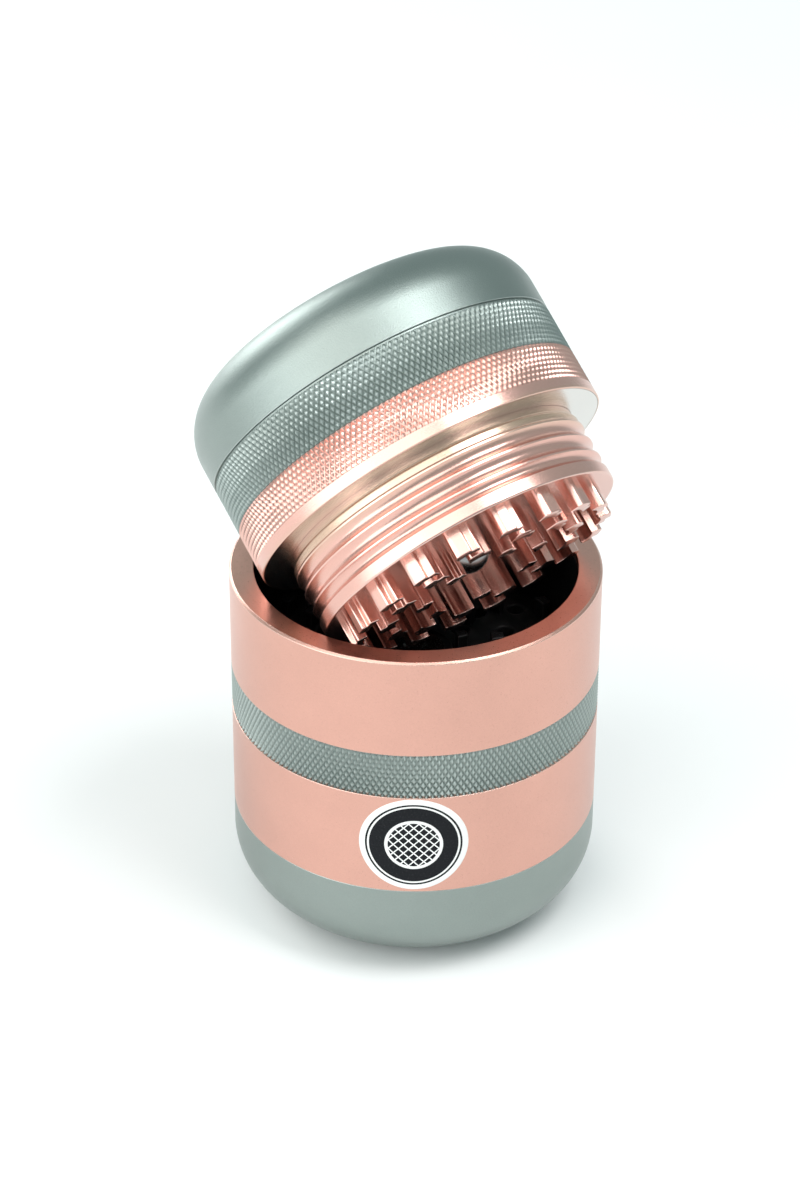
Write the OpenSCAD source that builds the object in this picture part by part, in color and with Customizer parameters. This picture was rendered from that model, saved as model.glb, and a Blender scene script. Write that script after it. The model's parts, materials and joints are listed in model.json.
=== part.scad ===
// Two-tone screen grinder: a base cup, a collector with a fine screen, a grinding
// chamber with a toothed plate, and a storage lid whose toothed plug leans in the
// open mouth of the chamber.
// Millimetres, +Z up. The origin is on the stack's axis, on the face that it rests on.

/* [Body] */
// Outside diameter of the stack and of the lid
body_d = 63; // [61:0.5:65]
// Width of the flat rim around the mouth of the grinding chamber
rim_w = 4.15; // [4:0.05:4.3]
// Height of the rounded base cup
base_h = 19.2; // [18:0.2:22]
// Height of the plain collector band
collector_h = 18.9; // [18:0.1:22]
// Height of the knurled band between collector and chamber
band_h = 8.4; // [8:0.1:10]
// Height of the plain chamber band above the knurled band
chamber_h = 18; // [17.5:0.1:19]
// Diameter of the flat face under the base cup
foot_d = 31; // [28:1:36]
// Height of the base cup's rounded edge
base_round = 13.5; // [12:0.5:14]

/* [Lid] */
// Height of the cap above its seam with the grinding head
cap_h = 23.9; // [23:0.1:26]
// Height of the cap's knurled band
cap_knurl_h = 8.4; // [7:0.1:9]
// Height of the straight side of the cap below its rounded edge
cap_side_h = 13.6; // [12:0.1:14]
// Width of the cap's rounded edge, measured towards the axis
cap_round = 9; // [7:0.5:12]
// Rise of the cap's crown above its rounded edge
cap_crown = 0.8; // [0.2:0.1:1.5]
// Height of the grinding head's knurled band
head_knurl_h = 6.6; // [5:0.1:8]
// Height of the plain lip below the knurled band
lip_h = 2.05; // [1.5:0.05:3]
// Length of the ringed plug that enters the chamber
plug_h = 13.25; // [12:0.05:13.5]
// Radius of the plug's lowest land
plug_r = 26.93; // [26.5:0.01:27]

/* [Teeth] */
// Length of the grinding head's teeth
head_tooth_h = 4.1; // [3.5:0.1:4.2]
// Length of the teeth on the lower plate
plate_tooth_h = 3.2; // [2.5:0.1:3.3]
// Teeth in the head's outer ring
outer_teeth = 18; // [12:1:20]
// Teeth in the head's middle ring
middle_teeth = 13; // [8:1:15]
// Teeth in the head's inner ring
inner_teeth = 7; // [4:1:9]

/* [Threads] */
// Distance between thread ridges, and the rise in one turn
thread_pitch = 2; // [1.5:0.1:2.5]
// Height of a thread ridge
thread_depth = 0.6; // [0.4:0.05:0.7]
// Radial gap between the inner and the outer crests
thread_gap = 0.2; // [0.1:0.05:0.3]
// Length of each threaded spigot
spigot_h = 6; // [5:0.1:6.2]

/* [Screen and label] */
// Thickness of the screen's cloth
screen_t = 0.2; // [0.1:0.05:0.4]
// Pitch of the holes in the screen's cloth
screen_pitch = 4; // [3:0.1:5]
// Diameter of the round label on the collector
label_d = 18.2; // [14:0.1:18.4]
// Thickness of the label
label_t = 0.12; // [0.08:0.01:0.2]

/* [Resting lid] */
// Lean of the lid's axis from upright, in degrees
lid_lean = 52.2; // [51.8:0.1:52.6]
// Direction in which the lid leans, in degrees from +X
lid_bearing = 127.4; // [0:0.1:360]
// Distance of the lid's seam centre from the stack's axis
lid_shift = 2.5; // [2.4:0.05:2.7]
// Height of the lid's seam centre above the chamber's rim
lid_rise = 21.2; // [21.1:0.1:22]
// Turn of the lid about its own axis, in degrees
lid_spin = 4.7; // [0:0.1:27]

/* [Hidden] */
$fn = 96;

sage = [0.55, 0.65, 0.62];
rose = [0.88, 0.70, 0.64];
black = [0.08, 0.08, 0.09];
steel = [0.75, 0.76, 0.77];
white = [0.90, 0.89, 0.87];
rubber = [0.15, 0.15, 0.16];

body_r = body_d / 2;
bore_r = body_r - rim_w;
chamfer = 0.35;

// Levels of the stack
collector_z = base_h;
band_z = collector_z + collector_h;
chamber_z = band_z + band_h;
rim_z = chamber_z + chamber_h;

// Threads: the inner part's crests stay inside the outer part's crests
female_crest_r = body_r - 3.3;
female_root_r = female_crest_r + thread_depth;
male_crest_r = female_crest_r - thread_gap;
male_root_r = male_crest_r - thread_depth;
thread_count = 2;

// Seals are round rings that lie on the ledge below a spigot
seal_r = 0.6;
seal_gap = 0.1;
ledge_drop = 2 * seal_r + seal_gap;
seal_ring_r = male_root_r - 0.1;

// Base cup
floor_t = 2.6;
cup_r = male_root_r - 1.4;
cup_round = 10;

// Collector
collector_r = body_r - 4.7;
spigot_wall_r = male_root_r - 1.6;
screen_ledge_r = 24;
screen_ledge_z = collector_z - 1.6;
screen_seat_r = 26.4;
screen_frame_r = 26.3;
gasket_t = 0.4;
frame_t = 0.8;
retainer_t = 1;
retainer_r = 26.9;
retainer_z = screen_ledge_z + gasket_t + frame_t;
ledge_t = 1.2;

// Tooth plate and sleeve
plate_z = chamber_z - 3.2;
plate_t = 3.1;
plate_top = plate_z + plate_t;
plate_ledge_r = 25;
liner_t = 0.65;
liner_r = bore_r + liner_t;
liner_top = rim_z - 1.6;
sleeve_joint_r = 29.7;
sleeve_joint_h = 5;
fit_gap = 0.05;
boss_r = 6.4;
boss_h = 1.4;
magnet_r = 5;
magnet_t = 2.4;

// Grinding head, in the lid's own frame: its seam with the cap is at z = 0
lip_z = -(head_knurl_h + lip_h);
plug_z = lip_z - plug_h;
neck_r = plug_r - 0.75;
glide_t = 0.8;
glide_r = body_r - 0.35;
store_r = male_root_r - 3;
store_z = plug_z + 7.2;
keeper_r = 5.4;
keeper_z = plug_z + 2.8;
ring_pitch = 2.85;
ring_crest_r = plug_r - 0.06;
ring_valley_r = plug_r - 0.75;
land_h = 2.1;
ball_r = 4;
ball_z = plug_z + 1.8;
socket_gap = 0.05;

// Cap, in the lid's own frame
cap_ledge_z = spigot_h + ledge_drop;
cap_store_r = male_root_r - 1.4;
seam_w = 0.35;
cap_roof_t = 3.2;

function mix(a, b, t) = a + (b - a) * t;

// Points of a quarter ellipse from angle a0 to a1 about (cx, cz)
function arc_points(cx, cz, rx, rz, a0, a1, steps = 16) =
    [for (i = [0:steps]) let (a = mix(a0, a1, i / steps)) [cx + rx * cos(a), cz + rz * sin(a)]];

// Ridges around a screwed spigot whose foot is at z0
module male_thread(z0) {
    for (i = [0:thread_count - 1])
        translate([0, 0, z0 + 1 + i * thread_pitch]) thread_ridge(male_root_r, thread_depth);
}

// One ridge of trapezoid section standing out from radius r
module thread_ridge(r, depth) {
    rotate_extrude() polygon([[r - 0.5, 0], [r, 0], [r + depth, 0.35], [r + depth, 0.85],
        [r, 1.2], [r - 0.5, 1.2]]);
}

// Space that a nut's thread leaves open: a root cylinder less the inward ridges
module female_space(z0, length) {
    difference() {
        translate([0, 0, z0]) cylinder(h = length, r = female_root_r);
        for (i = [0:thread_count - 1])
            translate([0, 0, z0 + 1.9 + i * thread_pitch]) rotate_extrude()
                polygon([[female_crest_r, 0.35], [female_root_r, 0], [female_root_r + 1, 0],
                    [female_root_r + 1, 1.2], [female_root_r, 1.2], [female_crest_r, 0.85]]);
    }
}

module seal_ring(z, r = seal_ring_r) {
    translate([0, 0, z]) rotate_extrude() translate([r, 0]) circle(r = seal_r, $fn = 24);
}

module tube(z0, h, r_out, r_in) {
    translate([0, 0, z0]) difference() {
        cylinder(h = h, r = r_out);
        translate([0, 0, -1]) cylinder(h = h + 2, r = r_in);
    }
}

// Places the lid as it leans in the mouth of the chamber
module lid_place() {
    translate([lid_shift * cos(lid_bearing), lid_shift * sin(lid_bearing), rim_z + lid_rise])
        rotate([0, lid_lean, lid_bearing]) rotate(lid_spin) children();
}

// Ring of equal copies about the axis
module around(count, start = 0) {
    for (i = [0:count - 1]) rotate(start + 360 * i / count) children();
}

// Section of one tooth of the head: a block with a stepped outer corner and a hollow back
module stepped_tooth(r_in, r_out, width, height) {
    step = (r_out - r_in) * 0.36;
    linear_extrude(height) difference() {
        polygon([[r_in, -width / 2], [r_out - 0.25, -width / 2], [r_out, -width / 2 + 0.25],
            [r_out, width * 0.16], [r_out - step, width * 0.2], [r_out - step, width / 2],
            [r_in + 0.5, width / 2], [r_in, width / 2 - 0.5]]);
        translate([r_in - width * 0.62, -width * 0.1]) circle(r = width * 0.8, $fn = 48);
    }
}

// Section of one tooth of the plate: a wedge that leans into the turn
module wedge_tooth(r_in, r_out, width, height) {
    linear_extrude(height) polygon([[r_in, -width / 2], [r_out, -width * 0.3],
        [r_out, width * 0.3], [r_in, width / 2]]);
}

module base_cup() {
    round_r = body_r - foot_d / 2;
    color(sage) difference() {
        rotate_extrude() polygon(concat([[0, 0]],
            arc_points(foot_d / 2, base_round, round_r, base_round, -90, 0),
            [[body_r, base_h], [0, base_h]]));
        rotate_extrude() polygon(concat([[0, floor_t]],
            arc_points(cup_r - cup_round, floor_t + cup_round, cup_round, cup_round, -90, 0),
            [[cup_r, base_h], [0, base_h]]));
        female_space(base_h - spigot_h - ledge_drop, spigot_h + ledge_drop + 1);
    }
}

module base_seal() {
    color(rubber) seal_ring(collector_z - spigot_h - seal_gap - seal_r);
}

module collector() {
    color(rose) difference() {
        union() {
            tube(collector_z, collector_h, body_r, collector_r);
            tube(collector_z - spigot_h, screen_ledge_z - collector_z + spigot_h, male_root_r,
                spigot_wall_r);
            tube(screen_ledge_z - ledge_t, ledge_t, male_root_r - 0.5, screen_ledge_r);
            tube(screen_ledge_z, retainer_z + retainer_t + 1 - screen_ledge_z, male_root_r,
                screen_seat_r);
            male_thread(collector_z - spigot_h);
        }
        female_space(band_z - spigot_h - ledge_drop, spigot_h + ledge_drop + 1);
        tube(retainer_z, retainer_t, retainer_r + fit_gap, 20);
    }
}

module screen_gasket() {
    color(white) tube(screen_ledge_z, gasket_t, screen_frame_r, screen_ledge_r + 0.4);
}

module screen_frame() {
    color(steel) difference() {
        tube(screen_ledge_z + gasket_t, frame_t, screen_frame_r, screen_ledge_r + 0.8);
        translate([0, 0, screen_ledge_z + gasket_t + (frame_t - screen_t) / 2])
            cylinder(h = screen_t, r = screen_frame_r - 0.8);
    }
}

// Screen cloth: a thin disc with a square grid of openings
module screen_mesh() {
    reach = floor((screen_ledge_r - 1) / screen_pitch);
    color(steel) translate([0, 0, screen_ledge_z + gasket_t + (frame_t - screen_t) / 2])
        linear_extrude(screen_t) difference() {
            circle(r = screen_frame_r - 0.8);
            for (i = [-reach:reach], j = [-reach:reach])
                if (norm([i, j]) * screen_pitch < screen_ledge_r - 1)
                    translate([i * screen_pitch, j * screen_pitch])
                        square(screen_pitch * 0.62, center = true);
        }
}

// Split spring ring that holds the screen down
module screen_retainer() {
    color(steel) difference() {
        tube(retainer_z, retainer_t, retainer_r, screen_ledge_r + 1.2);
        translate([0, -2, screen_ledge_z]) cube([30, 4, 6]);
    }
}

// Round label bent around the front of the collector
module collector_label() {
    color(white) intersection() {
        tube(collector_z, collector_h, body_r + label_t, body_r);
        translate([0, 0, collector_z + collector_h / 2 + 0.2]) rotate([90, 0, 0])
            cylinder(h = body_r + 2, r = label_d / 2);
    }
}

module chamber_seal() {
    color(rubber) seal_ring(band_z - spigot_h - seal_gap - seal_r);
}

module plate_ring() {
    color(sage) difference() {
        union() {
            tube(band_z, band_h, body_r, plate_ledge_r);
            tube(band_z - spigot_h, spigot_h + 1, male_root_r, plate_ledge_r);
            male_thread(band_z - spigot_h);
            tube(chamber_z, sleeve_joint_h, sleeve_joint_r, liner_r + fit_gap);
        }
        translate([0, 0, plate_z]) cylinder(h = band_h, r = liner_r + fit_gap);
    }
}

// Black toothed disc: floor with drop holes, teeth and centre boss
module tooth_plate() {
    color(black) difference() {
        union() {
            translate([0, 0, plate_z]) cylinder(h = plate_t, r = liner_r);
            translate([0, 0, plate_top]) {
                cylinder(h = boss_h, r = boss_r);
                around(12) wedge_tooth(24.7, 26.6, 3, plate_tooth_h);
                around(10, 9) wedge_tooth(19.4, 21, 3, plate_tooth_h);
                around(8, 5) wedge_tooth(13, 15.2, 2.8, plate_tooth_h);
                around(4, 12) wedge_tooth(7.2, 9.1, 2.4, plate_tooth_h);
            }
        }
        translate([0, 0, plate_top + boss_h - magnet_t]) cylinder(h = magnet_t + 1, r = magnet_r);
        for (row = [[22.9, 18, 1.5], [17.2, 14, 1.6], [11, 8, 1.5]])
            around(row[1]) translate([row[0], 0, plate_z - 1])
                cylinder(h = plate_t + 2, r = row[2], $fn = 24);
    }
}

// Disc magnet with a dimple that centres the ball of the head
module plate_magnet() {
    color(steel) difference() {
        translate([0, 0, plate_top + boss_h - magnet_t]) cylinder(h = magnet_t, r = magnet_r);
        translate([0, 0, plate_top + boss_h + ball_r - 0.4]) sphere(r = ball_r + 0.2, $fn = 48);
    }
}

// Thin black wall that stands on the tooth plate and lines the chamber
module chamber_liner() {
    color(black) tube(plate_top, liner_top - plate_top, liner_r, bore_r);
}

module chamber_sleeve() {
    color(rose) rotate_extrude() polygon([
        [sleeve_joint_r + fit_gap, chamber_z], [body_r, chamber_z],
        [body_r, rim_z - chamfer], [body_r - chamfer, rim_z], [bore_r, rim_z],
        [bore_r, liner_top + 0.1], [liner_r + fit_gap, liner_top + 0.1],
        [liner_r + fit_gap, chamber_z + sleeve_joint_h + ledge_drop],
        [sleeve_joint_r + fit_gap, chamber_z + sleeve_joint_h + ledge_drop]]);
}

module sleeve_seal() {
    color(rubber) seal_ring(chamber_z + sleeve_joint_h + seal_r + seal_gap / 2,
        (liner_r + sleeve_joint_r) / 2 + fit_gap);
}

// Ball magnet at the centre of the head, on which the head turns when it is closed
module pivot_ball() {
    color(steel) lid_place() translate([0, 0, ball_z]) sphere(r = ball_r);
}

module glide_ring() {
    color(steel) lid_place() tube(lip_z, glide_t, glide_r, neck_r + fit_gap);
}

// Outline of the plug from its lowest land up to the lip: three rounded grooves
// between crests, then a shallow band and a relief neck
function groove(z0, z1, r_crest, r_floor, steps = 8) =
    [for (i = [1:steps - 1]) let (t = i / steps)
        [r_crest - (r_crest - r_floor) * sin(180 * t), mix(z0, z1, t)]];

function plug_outline() = let (
        z1 = plug_z + land_h, z2 = z1 + ring_pitch * 0.85, z3 = z2 + ring_pitch,
        z4 = z3 + ring_pitch, r = ring_crest_r, v = ring_valley_r)
    concat([[0, plug_z], [plug_r - chamfer, plug_z], [plug_r, plug_z + chamfer], [plug_r, z1]],
        groove(z1, z2, r, v), [[r, z2]], groove(z2, z3, r, v), [[r, z3]],
        groove(z3, z4, r, v), [[r, z4], [r - 0.3, z4 + 0.3], [r - 0.3, z4 + 1.5],
        [neck_r, z4 + 1.8], [neck_r, lip_z + glide_t], [0, lip_z + glide_t]]);

module grinding_head() {
    color(rose) lid_place() difference() {
        union() {
            rotate_extrude() polygon(plug_outline());
            rotate_extrude() polygon([[0, lip_z + glide_t], [glide_r + fit_gap, lip_z + glide_t],
                [glide_r + fit_gap, lip_z], [body_r - 0.15, lip_z], [body_r, lip_z + 0.15],
                [body_r, 0], [0, 0]]);
            cylinder(h = spigot_h, r = male_root_r);
            male_thread(0);
            translate([0, 0, plug_z - head_tooth_h]) {
                around(outer_teeth, 2.3) stepped_tooth(21.4, 24.2, 4.2, head_tooth_h + 0.5);
                around(middle_teeth, 9) stepped_tooth(15.6, 19, 3.9, head_tooth_h + 0.5);
                around(inner_teeth, 20) stepped_tooth(9.6, 12.4, 3.2, head_tooth_h + 0.5);
            }
        }
        translate([0, 0, store_z]) cylinder(h = 40, r = store_r);
        translate([0, 0, keeper_z]) cylinder(h = 20, r = keeper_r + fit_gap);
        translate([0, 0, ball_z]) sphere(r = ball_r + socket_gap);
    }
}

// Pressed disc that holds the ball in its socket from the storage side
module ball_keeper() {
    color(steel) lid_place() difference() {
        translate([0, 0, keeper_z]) cylinder(h = store_z - keeper_z, r = keeper_r);
        translate([0, 0, ball_z]) sphere(r = ball_r + socket_gap);
    }
}

module storage_seal() {
    color(rubber) lid_place() seal_ring(spigot_h + seal_r + seal_gap / 2);
}

module lid_cap() {
    edge_r = body_r - cap_round;
    edge_h = cap_h - cap_crown - cap_side_h;
    color(sage) lid_place() difference() {
        rotate_extrude() polygon(concat([[0, 0], [body_r, 0], [body_r, cap_knurl_h],
            [body_r - seam_w, cap_knurl_h + 0.1], [body_r - seam_w, cap_knurl_h + seam_w],
            [body_r, cap_knurl_h + seam_w + 0.1]],
            arc_points(edge_r, cap_side_h, cap_round, edge_h, 0, 90),
            [for (i = [1:8]) let (t = i / 8) [edge_r * (1 - t),
                cap_side_h + edge_h + cap_crown * (1 - (1 - t) * (1 - t))]]));
        rotate_extrude() polygon(concat([[0, -1], [cap_store_r, -1]],
            arc_points(cap_store_r - 6, cap_h - cap_roof_t - 6, 6, 6, 0, 90),
            [[0, cap_h - cap_roof_t]]));
        translate([0, 0, cap_ledge_z]) mirror([0, 0, 1])
            female_space(0, cap_ledge_z + 1);
    }
}

base_cup();
base_seal();
collector();
screen_gasket();
screen_frame();
screen_mesh();
screen_retainer();
collector_label();
chamber_seal();
plate_ring();
tooth_plate();
plate_magnet();
chamber_liner();
chamber_sleeve();
sleeve_seal();
pivot_ball();
glide_ring();
grinding_head();
ball_keeper();
storage_seal();
lid_cap();
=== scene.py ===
"""Looks of a two-tone screen grinder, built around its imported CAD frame.

Turned pieces are lathe surfaces, knurled bands are rings of real diamonds, teeth are
eased prisms, and the screen is a woven cloth. All of them are numpy grids in
millimetres, which are moved to their place and scaled to metres when a piece is made.
"""

from __future__ import annotations

import json
import logging
import math
from dataclasses import dataclass
from enum import Enum
from typing import Sequence

import bpy
import numpy as np
from mathutils import Matrix, Vector


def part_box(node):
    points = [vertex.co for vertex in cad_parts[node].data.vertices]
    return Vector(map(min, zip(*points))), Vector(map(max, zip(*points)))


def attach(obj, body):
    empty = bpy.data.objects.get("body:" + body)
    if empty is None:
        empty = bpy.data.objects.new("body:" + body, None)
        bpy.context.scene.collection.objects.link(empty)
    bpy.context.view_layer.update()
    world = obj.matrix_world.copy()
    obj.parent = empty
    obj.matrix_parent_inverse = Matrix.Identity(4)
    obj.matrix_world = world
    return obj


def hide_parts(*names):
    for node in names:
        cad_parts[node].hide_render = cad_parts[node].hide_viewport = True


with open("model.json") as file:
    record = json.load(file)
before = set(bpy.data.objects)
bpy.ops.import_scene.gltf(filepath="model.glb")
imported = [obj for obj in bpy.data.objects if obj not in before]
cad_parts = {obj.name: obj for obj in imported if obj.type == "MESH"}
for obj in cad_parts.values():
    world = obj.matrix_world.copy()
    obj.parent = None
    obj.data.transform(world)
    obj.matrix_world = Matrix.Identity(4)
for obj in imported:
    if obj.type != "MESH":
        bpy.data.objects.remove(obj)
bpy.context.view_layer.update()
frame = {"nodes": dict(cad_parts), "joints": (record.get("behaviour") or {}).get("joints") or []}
log = logging.getLogger("grinder")

MM = 0.001
TAU = 2 * math.pi
EDGE = "edge"
HOLLOW = "hollow"
CREASE_DEG, KNURL_CREASE_DEG = 32.0, 24.0  # corners sharper than this stay sharp
SEAM = 0.02  # half the gap between a knurled band and the wall beside it
KNURL_CORE = 0.5  # the turned core's depth under the grooves of its diamonds
Rows = np.ndarray  # one point of a section or an outline a row
Corner = tuple[float, float, float]
Colour = tuple[float, float, float]


# ---------------------------------------------------------------- places


@dataclass(frozen=True)
class Place:
    """A right-handed frame in the row frame: its name, its origin and how it is turned."""

    name: str
    origin: Vector
    axes: Matrix

    @staticmethod
    def upright(name: str, height: float = 0) -> Place:
        """An unturned frame on the stack's axis, at a height in metres."""
        return Place(name, Vector((0, 0, height)), Matrix.Identity(3))

    @staticmethod
    def on_joint(name: str, joint_name: str) -> Place:
        """The frame whose Z is a hinge's axis and whose origin is the hinge's point.

        Args:
            name: the frame's own name.
            joint_name: the hinge's name in the record.
        Returns:
            A frame whose X lies in the upright plane through the axis, on its low side.
        """
        joint = next(j for j in frame["joints"] if j["name"] == joint_name)
        up = Vector(joint["axis"]).normalized()
        side = Vector((0, 0, 1)).cross(up).normalized()
        axes = Matrix((side.cross(up), side, up)).transposed()
        return Place(name, Vector(joint["pos_m"]), axes)

    def put(self, points_mm: np.ndarray) -> np.ndarray:
        """Turns points in millimetres in this frame into metres in the row frame."""
        return points_mm @ np.array(self.axes).T * MM + np.array(self.origin)


UPRIGHT = Place.upright("stack")
LID = Place.on_joint("lid", "lid_turn")


# ---------------------------------------------------------------- sections


LONGEST_EASE = 0.45  # of the shorter side beside a corner
GUARD = 1.25  # distance of the outer points from their corner, in eases
LONGEST_GUARD = 0.49  # of the shorter side
SWELL = 8  # a thread swells over 1 / SWELL of its stretch


def eased(corners: Sequence[Corner], steps: int = 4, closed: bool = False) -> Rows:
    """Rounds the corners of a path by a parabola that touches both sides.

    A corner P between unit directions u and w becomes (1-s)^2 A + 2 s (1-s) P + s^2 C,
    with A = P + e u and C = P + e w for an ease e. Two more points a little further out
    keep the flats beside it flat when the mesh is shaded smooth.

    Args:
        corners: (x, y, ease) of each corner, in millimetres.
        steps: parts of each parabola.
        closed: True if the last corner joins the first one.
    Returns:
        Rows of x, y, edge, where edge is 1 in the middle of a rounded corner.
    """
    c = np.array(corners, float)
    point, ease = c[:, :2], c[:, 2:3]
    sides = [np.roll(point, way, 0) - point for way in (1, -1)]
    lengths = [np.linalg.norm(side, axis=1, keepdims=True) for side in sides]
    back, ahead = (side / length for side, length in zip(sides, lengths))
    room = np.minimum(*lengths)
    e = np.minimum(ease, LONGEST_EASE * room)
    if not closed:
        e[[0, -1]] = 0
    a, b = (point + way * e for way in (back, ahead))
    guard = np.minimum(GUARD, LONGEST_GUARD * room / np.maximum(e, 1e-9))
    outer_a, outer_b = (point + way * e * guard for way in (back, ahead))
    s = np.linspace(0, 1, steps + 1)[None, :, None]
    bend = (1 - s) ** 2 * a[:, None] + 2 * s * (1 - s) * point[:, None] + s**2 * b[:, None]
    xy = np.concatenate([outer_a[:, None], bend, outer_b[:, None]], 1)
    worn = np.concatenate([[0], np.sin(np.pi * s.ravel()), [0]])
    rows = np.concatenate([xy, np.broadcast_to(worn[:, None], xy.shape[:2] + (1,))], 2)
    rows = rows.reshape(-1, 3)
    step = np.linalg.norm(np.diff(rows[:, :2], axis=0), axis=1)
    apart = 1e-5
    return rows[np.concatenate([[True], step > apart])]


def section(*parts: Rows) -> Rows:
    """Joins stretches of a lathe section into rows of radius, height, edge, ridge."""
    padded = [np.pad(p, ((0, 0), (0, 4 - p.shape[1]))) for p in parts]
    return np.concatenate(padded)


def threaded(radius: float, start: float, end: float, ridge: float, rows: int = 34) -> Rows:
    """A stretch of wall that carries a thread.

    The ridge's height swells from nothing at the start of the stretch and dies away
    at its end.

    Args:
        radius: the wall's radius between the ridges, in millimetres.
        start, end: its heights, in the section's own order.
        ridge: how far the ridge stands out, or in if it is negative.
        rows: rows of the mesh along the stretch.
    Returns:
        Rows of radius, height, edge, ridge.
    """
    t = np.linspace(0, 1, rows)
    swell = np.clip(np.minimum(t, 1 - t) * SWELL, 0, 1)
    level = start + (end - start) * t
    return np.stack([np.full(rows, radius), level, 0 * t, ridge * swell], 1)


def arc(cx: float, cz: float, rx: float, rz: float, a0: float, a1: float, n: int = 20) -> Rows:
    """Part of an ellipse about (cx, cz), from angle a0 to a1 in degrees."""
    a = np.radians(np.linspace(a0, a1, n))
    return np.stack([cx + rx * np.cos(a), cz + rz * np.sin(a), 0 * a], 1)


# ---------------------------------------------------------------- surfaces


@dataclass
class Shell:
    """One closed surface: points in millimetres, and arrays of its faces.

    edge and hollow say from 0 to 1 how worn and how sunken each point is.
    """

    points: np.ndarray
    faces: list[np.ndarray]
    edge: np.ndarray
    hollow: np.ndarray

    @staticmethod
    def of(points: np.ndarray, faces: list[np.ndarray], edge: np.ndarray | None = None) -> Shell:
        """A shell with no hollows, and with worn edges where edge says so."""
        flat = points.reshape(-1, 3)
        worn = np.zeros(len(flat)) if edge is None else edge.ravel()
        return Shell(flat, faces, worn, np.zeros(len(flat)))


def grid_quads(rows: int, columns: int, wrap: bool = False) -> np.ndarray:
    """Quads of a grid whose columns close into a ring, and whose rows do if wrap is True."""
    i = np.arange(rows if wrap else rows - 1)[:, None]
    j = np.arange(columns)[None, :]
    up, right = (i + 1) % rows, (j + 1) % columns
    corners = [i * columns + j, i * columns + right, up * columns + right, up * columns + j]
    return np.stack(corners, -1).reshape(-1, 4)


def tipped_faces(rows: int, columns: int) -> list[np.ndarray]:
    """Faces of a grid whose first and last row are drawn together to a tip each.

    Args:
        rows, columns: the grid's size; the two tips follow its points.
    Returns:
        The quads between the rows, and the triangles round the tips.
    """
    ring, last, tip = np.arange(columns), (rows - 1) * columns, rows * columns
    ahead = (ring + 1) % columns
    fans = [(0 * ring + tip, ahead, ring), (last + ring, last + ahead, 0 * ring + tip + 1)]
    return [grid_quads(rows, columns), np.concatenate([np.stack(fan, 1) for fan in fans])]


def copied_faces(faces: Sequence[np.ndarray], count: int, size: int) -> list[np.ndarray]:
    """The faces of a number of like surfaces, whose points follow one another.

    Args:
        faces: the first one's faces.
        count: how many surfaces there are.
        size: how many points each has.
    Returns:
        All their faces.
    """
    step = np.arange(count)[:, None, None] * size
    return [(f[None] + step).reshape(-1, f.shape[1]) for f in faces]


@dataclass(frozen=True)
class Ridge:
    """Shape of a thread's ridge, in shares of its pitch, and how worn its top is."""

    half: float = 0.3
    flank: float = 0.175
    wear: float = 0.6


RIDGE = Ridge()


def lathe(rows: Rows, columns: int = 240, poles: bool = False, pitch: float = 2.0) -> Shell:
    """Turns a section round the Z axis.

    A point is (r cos q, r sin q, z) with r = radius + ridge * bump, and bump is a flat
    topped wave of z / pitch - q / 2 pi, so that a ridge is a right-hand thread.

    Args:
        rows: radius, height, edge, ridge, counterclockwise with the radius to the right.
        columns: steps round the axis.
        poles: True if the section starts and ends on the axis, else it closes on itself.
        pitch: rise of the thread in one turn, in millimetres.
    Returns:
        A closed shell whose faces point outwards.
    """
    q = np.arange(columns) / columns * TAU
    phase = rows[:, 1:2] / pitch - q[None] / TAU + np.where(rows[:, 3:4] < 0, 0.5, 0)
    bump = np.clip((RIDGE.half - np.abs(phase % 1 - 0.5)) / RIDGE.flank, 0, 1)
    radius = rows[:, :1] + rows[:, 3:4] * bump
    height = np.broadcast_to(rows[:, 1:2], radius.shape)
    points = np.stack([radius * np.cos(q), radius * np.sin(q), height], -1)
    worn = np.clip(rows[:, 2:3] + RIDGE.wear * bump * (rows[:, 3:4] != 0), 0, 1)
    worn = np.broadcast_to(worn, radius.shape)
    if not poles:
        return Shell.of(points, [grid_quads(len(rows), columns, wrap=True)], worn)
    tips = np.array([[0, 0, rows[0, 1]], [0, 0, rows[-1, 1]]])
    points = np.concatenate([points[1:-1].reshape(-1, 3), tips])
    edge = np.concatenate([worn[1:-1].ravel(), [0, 0]])
    return Shell.of(points, tipped_faces(len(rows) - 2, columns), edge)


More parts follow.
